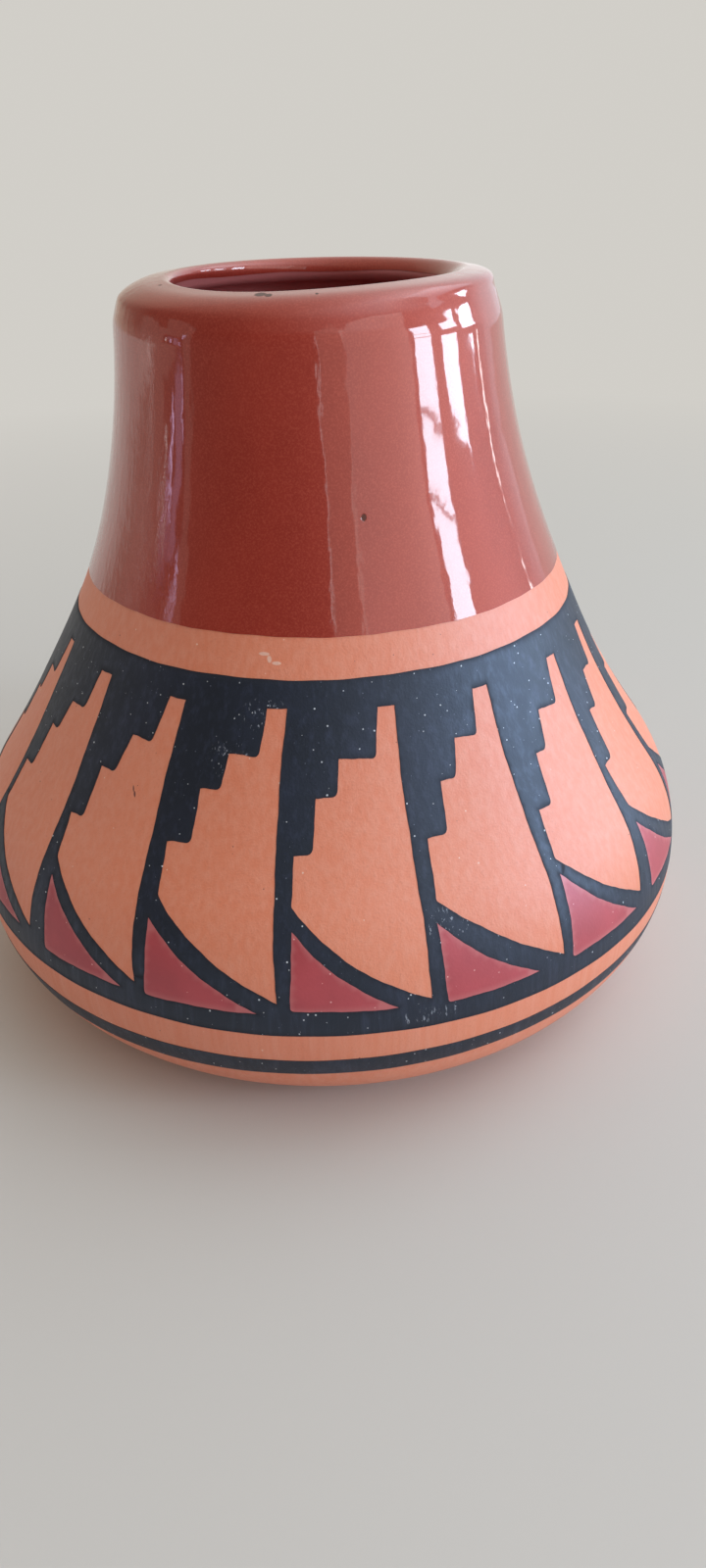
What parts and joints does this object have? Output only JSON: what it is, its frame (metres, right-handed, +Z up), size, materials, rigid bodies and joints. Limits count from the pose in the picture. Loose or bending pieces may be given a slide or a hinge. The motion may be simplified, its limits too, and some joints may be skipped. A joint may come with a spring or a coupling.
{
  "type": "pueblo pottery jar",
  "caption": "Coil-built pottery jar with a wide low belly, a tall tapering neck and a rounded rim, with a painted feather and stepped band round its shoulder.",
  "frame": {"origin": "middle of the flat base, on the surface that the jar stands on", "axes": "+Z up along the axis of the pot; -Y is the side that the picture shows; +X to its right"},
  "size_m": [0.2217, 0.2218, 0.2],
  "materials": {
    "bare_clay": "matte",
    "red_polish": "gloss",
    "black_paint": "matte",
    "brick_paint": "matte"
  },
  "bodies": {
    "root": {"base_disc": "bare_clay", "belly_wall": "bare_clay", "shoulder_wall": "bare_clay", "neck_wall": "bare_clay", "rim_coil": "bare_clay", "neck_polish_coat": "red_polish", "black_paint_field": "black_paint", "foot_black_line": "black_paint", "red_triangle_fills": "brick_paint"}
  },
  "joints": []
}
